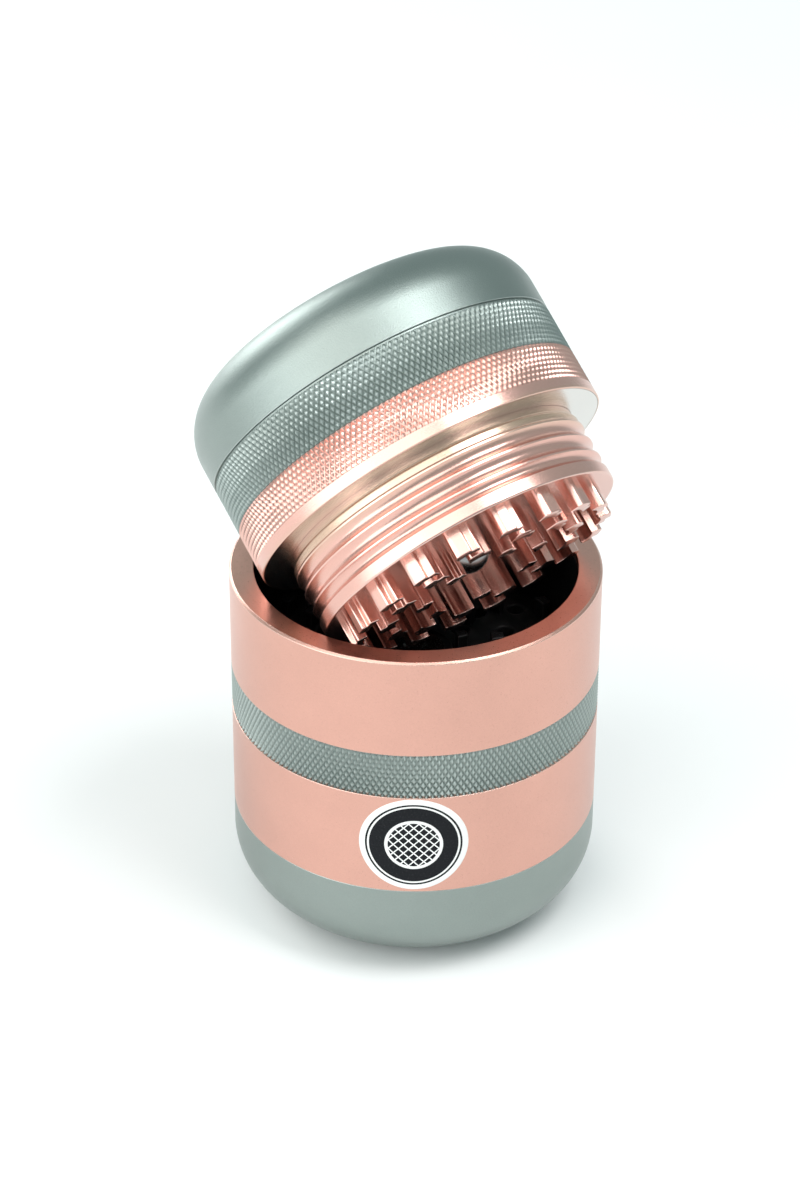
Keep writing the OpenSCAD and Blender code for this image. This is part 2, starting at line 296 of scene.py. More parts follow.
@dataclass(frozen=True)
class Knurl:
    """A 30 degree diamond knurl.

    It has cells round the band, their height, its depth, steps a cell, the wall behind
    it, the share of the depth where the diamonds are cut flat, and what counts as a
    worn crest or a sunken groove.
    """

    cells: int = 188
    cell_h: float = 1.76
    depth: float = 0.34
    sub: int = 6
    back: float = 0.9
    flat: float = 0.84
    worn_from: float = 0.45
    worn_rise: float = 1.6
    hollow_fall: float = 2.2

    def ring(self, crest: float, z0: float, z1: float) -> Shell:
        """A closed ring of diamonds.

        With u = cells q / 2 pi and v = z / cell height, the height of the surface is the
        smaller of the triangle waves of u + v and of u - v, cut flat near the top. Each
        quad is split along the diagonal that lies closer to that surface.

        Args:
            crest: radius over the diamonds, in millimetres.
            z0, z1: the band's lower and upper edge.
        Returns:
            The ring, whose crests are marked as edges and whose grooves as hollows.
        """
        columns = self.cells * self.sub
        steps = max(4, round((z1 - z0) / self.cell_h * self.sub))
        q = np.arange(columns) / columns * TAU
        z = np.linspace(z0, z1, steps + 1)
        height = self._height(q[None], z[:, None])
        outer = crest - self.depth * (1 - height)
        inner = np.full((2, columns), crest - self.depth - self.back)
        radius = np.concatenate([outer, inner])
        level = np.concatenate([z, [z1, z0]])[:, None]
        ring = [radius * np.cos(q), radius * np.sin(q), np.broadcast_to(level, radius.shape)]
        points = np.stack(ring, -1)
        quads = grid_quads(len(radius), columns, wrap=True)
        high = np.concatenate([height, np.zeros((2, columns))])
        faces = self._split(quads, radius.ravel(), q, z, crest)
        shell = Shell.of(points, [faces], np.clip(high - self.worn_from, 0, 1) * self.worn_rise)
        # The hollow mark drives painted shade in the grooves.
        shell.hollow = np.clip(1 - high * self.hollow_fall, 0, 1).ravel()
        return shell

    def _height(self, q: np.ndarray, z: np.ndarray) -> np.ndarray:
        """Height of the knurl over its grooves, from 0 to 1."""
        u, v = q * self.cells / TAU, z / self.cell_h
        waves = [1 - 2 * np.abs(x % 1 - 0.5) for x in (u + v, u - v)]
        return np.minimum(np.minimum(*waves) / self.flat, 1)

    def _split(
        self, quads: np.ndarray, r: np.ndarray, q: np.ndarray, z: np.ndarray, crest: float
    ) -> np.ndarray:
        """Splits the quads along the diagonal that follows the grooves.

        Args:
            quads: the ring's quads, row by row.
            r: radius of each point, in millimetres.
            q, z: angles of the columns and heights of the rows.
            crest: radius over the diamonds.
        Returns:
            Triangles.
        """
        columns = len(q)
        i, j = np.divmod(np.arange(len(quads)), columns)
        mid_q = q[j] + 0.5 * TAU / columns
        mid_z = (z[np.minimum(i, len(z) - 1)] + z[np.minimum(i + 1, len(z) - 1)]) / 2
        true = crest - self.depth * (1 - self._height(mid_q, mid_z))
        a, b, c, d = quads.T
        first = np.abs((r[a] + r[c]) / 2 - true) <= np.abs((r[b] + r[d]) / 2 - true)
        one = np.where(first[:, None], np.stack([a, b, c], 1), np.stack([a, b, d], 1))
        two = np.where(first[:, None], np.stack([a, c, d], 1), np.stack([b, c, d], 1))
        return np.concatenate([one, two])


PRISM_NECK = 1.3  # the straight side ends this many bevels from the tip
PRISM_WEAR = 0.8  # of an outline's own wear


def prism(outline: Rows, foot: float, tip: float, bevel: float) -> Shell:
    """Raises a closed outline from foot to tip, with a bevel round its tip.

    The outline is pulled in along its own normals by bevel * (1 - cos t) while the
    height goes up by bevel * sin t, for t from 0 to a right angle.

    Args:
        outline: x, y, edge of a counterclockwise outline, in millimetres.
        foot, tip: heights of its two ends; the tip may be the lower one.
        bevel: width of the eased edge round the tip.
    Returns:
        A closed shell.
    """
    xy, worn = outline[:, :2], outline[:, 2]
    along = np.roll(xy, -1, 0) - np.roll(xy, 1, 0)
    along /= np.linalg.norm(along, axis=1, keepdims=True)
    inward = np.stack([-along[:, 1], along[:, 0]], 1)
    sign = 1 if tip > foot else -1
    t = np.linspace(0, math.pi / 2, 4)
    pull = np.concatenate([[0, 0], bevel * (1 - np.cos(t))])
    neck = tip - sign * bevel * PRISM_NECK
    level = np.concatenate([[foot, neck], tip - sign * bevel * (1 - np.sin(t))])
    ring = xy[None] + inward[None] * pull[:, None, None]
    z = np.broadcast_to(level[:, None, None], ring.shape[:2] + (1,))
    points = np.concatenate([ring, z], 2)
    rows, count = len(level), len(xy)
    rim = np.concatenate([[0, 0], np.sin(2 * t)])
    edge = np.maximum(worn[None] * PRISM_WEAR, rim[:, None])
    sides = grid_quads(rows, count)
    caps = np.stack([np.arange(count)[::-1], np.arange(count) + (rows - 1) * count])
    if sign < 0:
        sides, caps = sides[:, ::-1], caps[:, ::-1]
    return Shell.of(points, [sides, caps], edge)


def around(shell: Shell, count: int, start: float = 0) -> Shell:
    """Copies of a shell, evenly turned about the Z axis, as one shell.

    Args:
        shell: the first copy.
        count: how many there are.
        start: the first copy's turn, in degrees.
    Returns:
        All the copies.
    """
    q = math.radians(start) + np.arange(count) / count * TAU
    cos, sin = np.cos(q)[:, None], np.sin(q)[:, None]
    x, y, z = shell.points.T
    turned = [cos * x - sin * y, sin * x + cos * y, np.broadcast_to(z, (count, len(z)))]
    points = np.stack(turned, -1).reshape(-1, 3)
    faces = copied_faces(shell.faces, count, len(z))
    return Shell(points, faces, np.tile(shell.edge, count), np.tile(shell.hollow, count))


def perforated(
    r0: float, r1: float, holes: int, hole_r: float, z0: float, z1: float, columns: int
) -> Shell:
    """A flat ring with a row of round holes, as one closed shell.

    Each sector is a sheet between the hole's circle and the sector's own border: a
    point is circle + t (border - circle), where both are met on the same ray.

    Args:
        r0, r1: inner and outer radius, in millimetres.
        holes: how many holes, on the middle radius.
        hole_r: their radius.
        z0, z1: lower and upper face.
        columns: steps of the whole ring round the axis, a multiple of holes.
    Returns:
        The ring, closed by its hole walls and its two rims.
    """
    chamfer, across, rim_wear = 0.18, 6, 0.7
    mid, half, side = (r0 + r1) / 2, math.pi / holes, columns // holes
    t = np.linspace(-1, 1, side + 1)[:-1]
    radial = np.linspace(-1, 1, across + 1)[:-1]
    reach = radial * (r1 - r0) / 2
    rho = np.concatenate([0 * t + r1, mid - reach, 0 * t + r0, mid + reach])
    turn = np.concatenate([t, 0 * radial + 1, -t, 0 * radial - 1]) * half
    border = np.stack([rho * np.cos(turn), rho * np.sin(turn)], 1)
    away = border - [mid, 0]
    away /= np.linalg.norm(away, axis=1, keepdims=True)
    circle = [mid, 0] + away * hole_r
    lip = [mid, 0] + away * (hole_r + chamfer)
    rings = [(border, z0), (circle, z0), (circle, z1 - chamfer), (lip, z1), (border, z1)]
    points = np.stack([np.column_stack([xy, np.full(len(xy), z)]) for xy, z in rings])
    edge = np.zeros((len(rings), len(border)))
    edge[2:4] = rim_wear
    quads = grid_quads(len(rings), len(border), wrap=True)[:, ::-1]
    return around(Shell.of(points, [quads], edge), holes)


# ---------------------------------------------------------------- materials


class Value:
    """A socket that holds a number; arithmetic on it adds Math nodes."""

    def __init__(self, tree: Tree, socket: bpy.types.NodeSocket) -> None:
        """Wraps a socket of a tree."""
        self.tree, self.socket = tree, socket

    def _math(self, operation: str, *terms: Value | float) -> Value:
        """Adds one Math node on the given terms."""
        return self.tree.add("ShaderNodeMath", {"operation": operation}, list(terms))

    def __add__(self, other: Value | float) -> Value:
        """This value plus another."""
        return self._math("ADD", self, other)

    __radd__ = __add__

    def __mul__(self, other: Value | float) -> Value:
        """This value times another."""
        return self._math("MULTIPLY", self, other)

    __rmul__ = __mul__

    def __sub__(self, other: Value | float) -> Value:
        """This value less another."""
        return self._math("SUBTRACT", self, other)

    def __rsub__(self, other: float) -> Value:
        """Another number less this value."""
        return self._math("SUBTRACT", other, self)

    def below(self, limit: float) -> Value:
        """1 where this value is under the limit, else 0."""
        return self._math("LESS_THAN", self, limit)

    def size(self) -> Value:
        """This value without its sign."""
        return self._math("ABSOLUTE", self)

    def beside(self, period: float) -> Value:
        """Distance to the nearest multiple of a period."""
        return self._math("PINGPONG", self, period / 2)

    def clamp(self) -> Value:
        """This value held between 0 and 1."""
        return self.tree.add("ShaderNodeClamp", {}, [self])

    def root(self) -> Value:
        """The square root of this value."""
        return self._math("SQRT", self)


class Tree:
    """A material's node tree, with a Principled shader at its end."""

    def __init__(self, name: str) -> None:
        """Makes an empty material."""
        self.material = bpy.data.materials.new(name)
        self.material.use_nodes = True
        self.nodes, self.links = self.material.node_tree.nodes, self.material.node_tree.links
        self.shader = next(n for n in self.nodes if n.type == "BSDF_PRINCIPLED")

    def node(self, kind: str, settings: dict, inputs: dict | list) -> bpy.types.Node:
        """Adds a node.

        Args:
            kind: the node's type.
            settings: properties that are set before its sockets.
            inputs: values or links of its sockets, in order or by name.
        Returns:
            The node.
        """
        made = self.nodes.new(kind)
        for key, value in settings.items():
            setattr(made, key, value)
        pairs = enumerate(inputs) if isinstance(inputs, list) else inputs.items()
        for key, value in pairs:
            self.feed(made.inputs[key], value)
        return made

    def add(self, kind: str, settings: dict, inputs: dict | list, output: str | int = 0) -> Value:
        """Adds a node and returns one of its outputs as a value."""
        return Value(self, self.node(kind, settings, inputs).outputs[output])

    def feed(self, socket: bpy.types.NodeSocket, value: object) -> None:
        """Links a value to a socket, or sets the socket to a plain number or colour."""
        if isinstance(value, Value):
            self.links.new(value.socket, socket)
        elif isinstance(value, bpy.types.NodeSocket):
            self.links.new(value, socket)
        else:
            socket.default_value = value

    def set(self, **values: object) -> None:
        """Sets sockets of the shader; an underscore in a name stands for a space."""
        for key, value in values.items():
            self.feed(self.shader.inputs[key.replace("_", " ")], value)

    def local(self, place: Place) -> bpy.types.NodeSocket:
        """Object coordinates in a frame's own millimetres."""
        source = self.node("ShaderNodeTexCoord", {}, {}).outputs["Object"]
        inputs = {
            "Vector": source,
            "Location": tuple(place.origin),
            "Rotation": tuple(place.axes.to_euler()),
            "Scale": (MM,) * 3,
        }
        return self.node("ShaderNodeMapping", {"vector_type": "TEXTURE"}, inputs).outputs[0]

    def split(self, vector: bpy.types.NodeSocket) -> list[Value]:
        """The three numbers of a vector."""
        parts = self.node("ShaderNodeSeparateXYZ", {}, [vector]).outputs
        return [Value(self, part) for part in parts]

    def noise(self, vector: object, scale: float, detail: float = 2, rough: float = 0.5) -> Value:
        """Noise from 0 to 1 at a scale in cycles per unit of its vector."""
        inputs = {"Vector": vector, "Scale": scale, "Detail": detail, "Roughness": rough}
        return self.add("ShaderNodeTexNoise", {}, inputs)

    def mark(self, name: str) -> Value:
        """A number that the mesh carries at its points."""
        return self.add("ShaderNodeAttribute", {"attribute_name": name}, {}, "Fac")

    def blend(self, factor: Value | float, one: object, two: object) -> bpy.types.NodeSocket:
        """Mixes two colours; 6, 7 and 2 are the Mix node's colour sockets."""
        made = self.node("ShaderNodeMix", {"data_type": "RGBA"}, {0: factor, 6: one, 7: two})
        return made.outputs[2]

    def bump(
        self, height: Value, strength: float, distance: float, normal: object = None
    ) -> bpy.types.NodeSocket:
        """A Bump node, whose distance is in metres, on top of an earlier one's normal."""
        inputs = {"Strength": strength, "Distance": distance, "Height": height}
        if normal is not None:
            inputs["Normal"] = normal
        return self.node("ShaderNodeBump", {}, inputs).outputs[0]


def rgba(colour: Sequence[float], share: float = 1.0) -> tuple[float, ...]:
    """A linear colour with full opacity, made darker or paler by a share."""
    return (*(min(1.0, c * share) for c in colour), 1.0)


# cycles a millimetre of the lathe's lines, of the blasted grain and of the mottled dye
FINE_LINES, BROAD_LINES, GRAIN, MOTTLE = 5.5, 0.7, 3.6, 0.11


@dataclass(frozen=True)
class Turned:
    """Anodised or bare turned metal: mottled colour, blasted grain, lathe lines, worn edges,
    painted shade in hollows and a painted golden reflection band.

    grain and lines are how deep the grain and the lathe lines look, and wear is how much
    of the bare metal shows on edges.
    """

    name: str
    colour: Colour
    bare: Colour
    rough: float
    grain: float
    lines: float
    wear: float = 0.5
    metallic: float = 1.0
    # band and its golden colour paint a warm reflection round a range of heights.
    band: tuple[float, float] = (0.0, 0.0)
    painted_gold_reflection: Colour = (0.70, 0.50, 0.38)

    def build(self, place: Place) -> bpy.types.Material:
        """Makes the material for pieces that were turned about a frame's axis.

        The lathe lines are noise of (radius, height), so they are circles on faces and
        on walls alike. Where a band is given, as its middle height and its half width,
        the colour there turns towards a golden tint: a painted warm reflection round the plug's
        neck.
        the dye there is thin and shows a gold tint.

        Args:
            place: the frame whose Z is the axis of the lathe.
        Returns:
            The material.
        """
        tree = Tree(self.name)
        local = tree.local(place)
        x, y, z = tree.split(local)
        radius = (x * x + y * y).root()
        rings = tree.node("ShaderNodeCombineXYZ", {}, [radius, z * 0.9, 0.0]).outputs[0]
        fine, broad = tree.noise(rings, FINE_LINES, 3, 0.7), tree.noise(rings, BROAD_LINES, 2)
        grain, mottle = tree.noise(local, GRAIN, 3, 0.7), tree.noise(local, MOTTLE, 3)
        edge, hollow = tree.mark(EDGE), tree.mark(HOLLOW)
        worn = (edge * (grain * 0.8 + 0.6) * self.wear).clamp()
        # The third share, 0.42, is a painted shade colour for the knurl's grooves.
        dark, light, painted_groove_shade = (rgba(self.colour, share) for share in (0.86, 1.13, 0.42))
        base = tree.blend((mottle * 0.4 + grain * 0.6).clamp(), dark, light)
        # Painted golden reflection, strongest at the band's middle height.
        if self.band[1]:
            near = (1 - (z - self.band[0]).size() * (1 / self.band[1])).clamp()
            base = tree.blend((near * 1.2).clamp(), base, rgba(self.painted_gold_reflection))
        # Painted shade: the colour darkens towards the bottom of the knurl's grooves, where the
        # hollow mark is high.
        base = tree.blend(hollow * 0.5, base, painted_groove_shade)
        base = tree.blend(worn, base, rgba(self.bare))
        rough = self.rough + (grain - 0.5) * 0.10 + (broad - 0.5) * 0.12 * self.lines
        rough = rough - worn * 0.08
        normal = tree.bump(grain, self.grain, 0.00012)
        normal = tree.bump(fine, self.lines, 0.00010, normal)
        tree.set(Base_Color=base, Roughness=rough, Metallic=self.metallic, Normal=normal)
        return tree.material


@dataclass(frozen=True)
class Moulded:
    """Rubber or silicone: a soft speckle, paler clouds and a faint mould grain."""

    name: str
    colour: Colour
    rough: float

    def build(self, place: Place) -> bpy.types.Material:
        """Makes the material; the frame only sets where its speckle starts."""
        tree = Tree(self.name)
        local = tree.local(place)
        speckle, cloud = tree.noise(local, 9.0, 2), tree.noise(local, 0.6, 3)
        pale = tuple(c * 1.3 + 0.02 for c in self.colour)
        base = tree.blend((speckle * 0.5 + cloud * 0.5).clamp(), rgba(self.colour), rgba(pale))
        rough = self.rough + (cloud - 0.5) * 0.2
        tree.set(Base_Color=base, Roughness=rough, Normal=tree.bump(speckle, 0.25, 0.0001))
        return tree.material


@dataclass(frozen=True)
class Printed:
    """A glossy round sticker: a pale rim, a thin ring, and a dark disc with a screen symbol.

    It has the sticker's and the disc's radius, half the width of a line, the ring's
    distance from the edge, the hoop's radius in the disc's, and the distance between
    the crossed wires.
    """

    name: str
    edge: float
    disc: float
    line: float = 0.28
    inset: float = 1.15
    hoop: float = 0.62
    mesh: float = 1.7

    def build(self, place: Place) -> bpy.types.Material:
        """Makes the material; the symbol is a ring that holds crossed wires.

        Args:
            place: the frame whose origin is the sticker's middle; X is its width, Z its height.
        Returns:
            The material.
        """
        tree = Tree(self.name)
        local = tree.local(place)
        x, _, z = tree.split(local)
        radius, hoop_r = (x * x + z * z).root(), self.disc * self.hoop
        ring = (radius - (self.edge - self.inset)).size().below(self.line * 0.6)
        disc = radius.below(self.disc)
        hoop = (radius - hoop_r).size().below(self.line)
        rising, falling = (v.beside(self.mesh).below(self.line * 0.55) for v in (x + z, x - z))
        symbol = (hoop + (rising + falling).clamp() * radius.below(hoop_r)).clamp()
        ink = (ring + disc - disc * symbol).clamp()
        fibre = tree.noise(local, 3.0, 3)
        paper = tree.blend(fibre, rgba((0.80, 0.80, 0.79)), rgba((0.88, 0.88, 0.87)))
        black = tree.blend(fibre, rgba((0.008, 0.009, 0.011)), rgba((0.018, 0.019, 0.022)))
        rough = 0.34 - ink * 0.08 + (fibre - 0.5) * 0.1
        normal = tree.bump(fibre, 0.15, 0.00008)
        tree.set(Base_Color=tree.blend(ink, paper, black), Roughness=rough, Normal=normal)
        tree.set(Specular_IOR_Level=0.08)
        return tree.material


SAGE = Turned("sage", (0.295, 0.340, 0.322), (0.60, 0.65, 0.64), 0.35, 0.50, 0.05)
ROSE = Turned("rose", (0.69, 0.385, 0.315), (0.97, 0.78, 0.70), 0.29, 0.40, 0.10)
# Its band paints a golden reflection round the plug's neck.
ROSE_CUT = Turned(
    "rose_cut", (0.78, 0.46, 0.395), (1.0, 0.87, 0.82), 0.25, 0.10, 0.14, 0.22, band=(-10.4, 2.7)
)
BLACK = Turned("black", (0.012, 0.012, 0.013), (0.10, 0.09, 0.09), 0.45, 0.3, 0.1, 0.35, 0.4)
WIRE = Turned("wire", (0.62, 0.62, 0.61), (0.85, 0.85, 0.85), 0.30, 0.1, 0.2)
BARE = Turned("bare", (0.74, 0.71, 0.68), (0.95, 0.95, 0.95), 0.20, 0.05, 0.2)
NICKEL = Turned("nickel", (0.30, 0.30, 0.30), (0.9, 0.9, 0.9), 0.26, 0.05, 0.0)


class Finish(Enum):
    """The finishes of the object's pieces, each with the record's material slot."""

    SAGE = ("sage_anodised", SAGE)
    ROSE = ("rose_anodised", ROSE)
    ROSE_CUT = ("rose_anodised", ROSE_CUT)
    BLACK = ("black_anodised", BLACK)
    STEEL = ("screen_steel", WIRE)
    BARE = ("bare_steel", BARE)
    NICKEL = ("magnet_nickel", NICKEL)
    RUBBER = ("seal_rubber", Moulded("seal", (0.012, 0.012, 0.013), 0.55))
    SILICONE = ("silicone", Moulded("gasket", (0.55, 0.55, 0.54), 0.5))
    LABEL = ("label_print", Printed("sticker", 9.1, 7.45))

    @property
    def slot(self) -> str:
        """The record's material slot."""
        return self.value[0]

    def material(self, place: Place) -> bpy.types.Material:
        """The finish in a frame, made once for each frame.

        Args:
            place: the frame whose axis the finish turns about.
        Returns:
            The material.
        """
        name = f"{self.value[1].name}_{place.name}"
        found = bpy.data.materials.get(name)
        if found:
            return found
        made = self.value[1].build(place)
        made.name = name
        return made


# ---------------------------------------------------------------- pieces


@dataclass
class Piece:
    """A visible piece: its body, finish and shells, and the CAD node that it replaces."""

    name: str
    body: str
    finish: Finish
    shells: list[Shell]
    replaces: str
    place: Place = UPRIGHT
    crease_deg: float = CREASE_DEG

    def build(self) -> None:
        """Puts the shells into one mesh, dresses it and hangs it on its body.

        The object stays at the origin, with its place in its mesh.
        """
        starts = np.cumsum([0] + [len(s.points) for s in self.shells])
        points = np.concatenate([self.place.put(s.points) for s in self.shells])
        groups = [f + start for s, start in zip(self.shells, starts) for f in s.faces]
        sizes = np.concatenate([np.full(len(g), g.shape[1]) for g in groups])
        loops = np.concatenate([g.ravel() for g in groups])
        mesh = bpy.data.meshes.new(self.name)
        mesh.vertices.add(len(points))
        mesh.vertices.foreach_set("co", points.astype(np.float32).ravel())
        mesh.loops.add(len(loops))
        mesh.loops.foreach_set("vertex_index", loops.astype(np.int32))
        mesh.polygons.add(len(sizes))
        first = np.concatenate([[0], np.cumsum(sizes)[:-1]])
        mesh.polygons.foreach_set("loop_start", first.astype(np.int32))
        mesh.polygons.foreach_set("use_smooth", np.ones(len(sizes), bool))
        mesh.update(calc_edges=True)
        for key in (EDGE, HOLLOW):
            data = np.concatenate([getattr(s, key) for s in self.shells])
            mark = mesh.attributes.new(key, "FLOAT", "POINT")
            mark.data.foreach_set("value", data.astype(np.float32))
        mesh.set_sharp_from_angle(angle=math.radians(self.crease_deg))
        made = bpy.data.objects.new(self.name, mesh)
        bpy.context.scene.collection.objects.link(made)
        mesh.materials.append(self.finish.material(self.place))
        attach(made, self.body)
        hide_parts(self.replaces)
        log.info("%s: %d points, %d faces", self.name, len(points), len(sizes))


def dress(place: Place, **finishes: Finish) -> None:
    """Gives CAD nodes that stay in view their procedural finishes.

    Args:
        place: the frame that the finishes turn about.
        finishes: the finish of each node, by the node's name.
    """
    for node, finish in finishes.items():
        shown = frame["nodes"][node]
        shown.data.materials.clear()
        shown.data.materials.append(finish.material(place))
        log.info("%s: CAD node kept, finish %s", node, finish.name)


def top(node: str) -> float:
    """The highest level of a CAD node, in millimetres."""
    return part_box(node)[1].z / MM


def bottom(node: str) -> float:
    """The lowest level of a CAD node, in millimetres."""
    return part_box(node)[0].z / MM


@dataclass(frozen=True)
class Joint:
    """What all screwed joints share.

    It has the two threads' radii and their ridge, the spigot's length, the seal's ledge
    beyond it, the chamfers of the mouth and of the spigot, and how worn the latter is.
    """

    male: float = 27.4
    female: float = 28.8
    ridge: float = 0.6
    spigot: float = 6.0
    ledge: float = 1.3
    mouth_chamfer: float = 0.35
    chamfer: float = 0.3
    wear: float = 0.6

    def socket(self, mouth: float, up: bool = True) -> Rows:
        """The inner wall of a threaded mouth, from its rim in to its ledge.

        Args:
            mouth: the level of the rim.
            up: True if the mouth opens upwards.
        Returns:
            Rows that start at the rim.
        """
        sign = 1 if up else -1
        ledge = mouth - sign * (self.spigot + self.ledge)
        cut = self.mouth_chamfer
        rim = np.array([[self.female + cut, mouth, 0], [self.female, mouth - sign * cut, 0]])
        wall = threaded(self.female, mouth - sign * 0.6, ledge + sign * self.ledge, -self.ridge)
        return section(rim, wall, np.array([[self.female, ledge, 0]]))

    def hanging(self, low: float, high: float) -> Rows:
        """The outer wall of a threaded spigot that points down, from low to high."""
        rim = [
            [self.male - self.chamfer, low, self.wear],
            [self.male, low + self.chamfer, self.wear],
        ]
        return section(np.array(rim), threaded(self.male, low + 0.5, high - 0.2, self.ridge))

    def standing(self) -> Rows:
        """The outer wall of a threaded spigot that points up from 0."""
        wall = threaded(self.male, 0.5, self.spigot + 0.1, self.ridge)
        wall = wall[wall[:, 1] < self.spigot - self.chamfer - 0.05]
        rim = [
            [self.male, self.spigot - self.chamfer, self.wear],
            [self.male - self.chamfer, self.spigot, self.wear],
        ]
        return section(np.array([[self.male, 0, 0]]), wall, np.array(rim))


JOINT = Joint()


@dataclass
class Base:
    """The round-bottomed cup that catches the finest powder.

    It has the radius of its flat foot, the height of its rounded edge, its floor's
    level, its bowl's radius and fillet, and the ease of its rim.
    """

    radius: float
    height: float
    foot: float = 15.5
    round_h: float = 13.5
    floor: float = 2.6
    cup: float = 26.0
    fillet: float = 10.0
    ease: float = 0.12

    def section(self) -> Rows:
        """The cup's section, from the middle of its underside round to its floor."""
        side = arc(self.foot, self.round_h, self.radius - self.foot, self.round_h, -88, 0, 40)
        under = np.array([[0, 0, 0], [4, 0, 0], [self.foot - 3, 0, 0], [self.foot - 0.3, 0, 0]])
        rim = eased([
            (self.radius, self.round_h + 0.4, 0),
            (self.radius, self.height, self.ease),
            (JOINT.female + 0.6, self.height, 0),
        ])
        bend = self.fillet
        bowl = arc(self.cup - bend, self.floor + bend, bend, bend, 0, -90)
        ledge = self.height - JOINT.spigot - JOINT.ledge
        lip = np.array([[self.cup + 0.2, ledge, 0.4], [self.cup, ledge - 0.2, 0.4]])
        middle = np.array([[0, self.floor, 0]])
        return section(under, side, rim, JOINT.socket(self.height), lip, bowl, middle)

    def build(self) -> None:
        """Makes the cup and dresses its seal."""
        cup = lathe(self.section(), 256, poles=True)
        Piece("base_cup_turned", "base", Finish.SAGE, [cup], "base_cup").build()
        dress(UPRIGHT, base_seal=Finish.RUBBER)


@dataclass
class Collector:
    """The rose band with the screen, its frame and the round sticker.

    low and high are its seams; the other sizes are the radii of its bores and ledges,
    the drop and thickness of the screen's ledge, and the retainer's groove.
    """

    radius: float
    low: float
    high: float
    bore: float = 26.8
    spigot_bore: float = 25.8
    seat: float = 26.4
    screen_ledge: float = 24.0
    ledge_drop: float = 1.6
    ledge_t: float = 1.2
    groove: float = 26.95
    stack_t: float = 1.2
    retainer_t: float = 1.0
    ease: float = 0.12

    def section(self) -> Rows:
        """The band's section, counterclockwise from its lower outer edge."""
        ledge = self.low - self.ledge_drop
        groove = ledge + self.stack_t
        roof = groove + self.retainer_t
        foot = self.low - JOINT.spigot
        seal = self.high - JOINT.spigot - JOINT.ledge
        wall = eased([
            (JOINT.male + 0.4, self.low, 0),
            (self.radius, self.low, self.ease),
            (self.radius, self.high, self.ease),
            (JOINT.female + 0.6, self.high, 0),
        ])
        inside = eased([
            (self.bore + 0.4, seal, 0),
            (self.bore, seal - 0.3, 0.1),
            (self.bore, roof + 1, 0.1),
            (self.seat, roof + 1, 0.1),
            (self.seat, roof, 0),
            (self.groove, roof, 0),
            (self.groove, groove, 0),
            (self.seat, groove, 0.1),
            (self.seat, ledge, 0.1),
            (self.screen_ledge, ledge, 0.15),
            (self.screen_ledge, ledge - self.ledge_t, 0.15),
            (self.spigot_bore, ledge - self.ledge_t, 0.3),
            (self.spigot_bore, foot, 0.2),
            (JOINT.male - 0.5, foot, 0),
        ])
        return section(wall, JOINT.socket(self.high), inside, JOINT.hanging(foot, self.low))

    def sticker(self) -> tuple[Shell, Place]:
        """The sticker, a thin disc bent round the band.

        A point at radius r and angle q of the disc is (x, -sqrt(R^2 - x^2), z) with
        x = r cos q and z = r sin q, R being the band's radius, or a little more on the
        face; the face bends down to the band at its rim.

        Returns:
            The shell and the frame whose origin is the sticker's middle.
        """
        lo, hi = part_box("collector_label")
        disc, middle = (hi.x - lo.x) / 2 / MM, (hi.z + lo.z) / 2
        sunk, columns = 0.005, 144
        thick = -lo.y / MM - self.radius - sunk
        q = np.arange(columns) / columns * TAU
        face, back = np.linspace(0, 0.985, 26), np.linspace(0.98, 0, 20)
        share = np.concatenate([face, [0.995, 1.0, 1.0], back])[1:-1, None]
        lift = np.concatenate([0 * face + 1, [0.8, 0.45, 0.0], 0 * back])[1:-1, None]
        x, z = share * disc * np.cos(q), share * disc * np.sin(q)
        y = -np.sqrt((self.radius + lift * thick) ** 2 - x**2)
        points = np.stack([x, y, z], -1).reshape(-1, 3)
        tips = np.array([[0, -self.radius - thick, 0], [0, -self.radius, 0]])
        faces = [f[:, ::-1] for f in tipped_faces(len(share), columns)]
        shell = Shell.of(np.concatenate([points, tips]), faces)
        return shell, Place.upright("front", middle)

    def build(self) -> None:
        """Makes the band, the sticker and the woven cloth, and dresses the rest."""
        band, body = lathe(self.section(), 256), "collector_body"
        Piece("collector_turned", body, Finish.ROSE, [band], "collector").build()
        shell, place = self.sticker()
        Piece("sticker", body, Finish.LABEL, [shell], "collector_label", place).build()
        Cloth().build()
        dress(
            UPRIGHT,
            screen_gasket=Finish.SILICONE,
            screen_frame=Finish.STEEL,
            screen_retainer=Finish.STEEL,
            chamber_seal=Finish.RUBBER,
        )


@dataclass
class Cloth:
    """The screen's woven wire cloth: its pitch, its wires' radius and their sides."""

    pitch: float = 0.85
    wire: float = 0.05
    sides: int = 5

    def build(self) -> None:
        """Weaves the cloth.

        A wire across the screen at y is (x, y, w cos(pi x / pitch + pi k)) for the k-th
        wire, w being the wire's radius; the other set is the same, turned by a right
        angle and half a wave on, so that the wires pass over and under each other.
        """
        lo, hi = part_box("screen_mesh")
        reach, level = (hi.x - lo.x) / 2 / MM - self.wire, (hi.z + lo.z) / 2 / MM
        half = int(reach / self.pitch)
        wires, rings = 2 * half + 1, 4 * half
        number = np.arange(-half, half + 1)[:, None, None]
        span = np.sqrt(np.maximum(reach**2 - (number * self.pitch) ** 2, self.wire))
        t = np.linspace(-1, 1, rings)[None, :, None]
        q = (np.arange(self.sides) / self.sides * TAU)[None, None, :]
        along = span * t + 0 * q
        wave = np.cos(np.pi * along / self.pitch + np.pi * number) * self.wire
        across = number * self.pitch + self.wire * np.cos(q) + 0 * along
        height = level + (wave + self.wire * np.sin(q)) * 0.98
        one = np.stack([along, across, height], -1)
        two = np.stack([across, along, 2 * level - height], -1)
        corner, last = np.arange(self.sides), (rings - 1) * self.sides
        wire = [grid_quads(rings, self.sides), np.stack([corner[::-1], corner + last])]
        faces = copied_faces(wire, wires, rings * self.sides)
        shells = [Shell.of(points, faces) for points in (one, two)]
        Piece("screen_cloth", "collector_body", Finish.STEEL, shells, "screen_mesh").build()


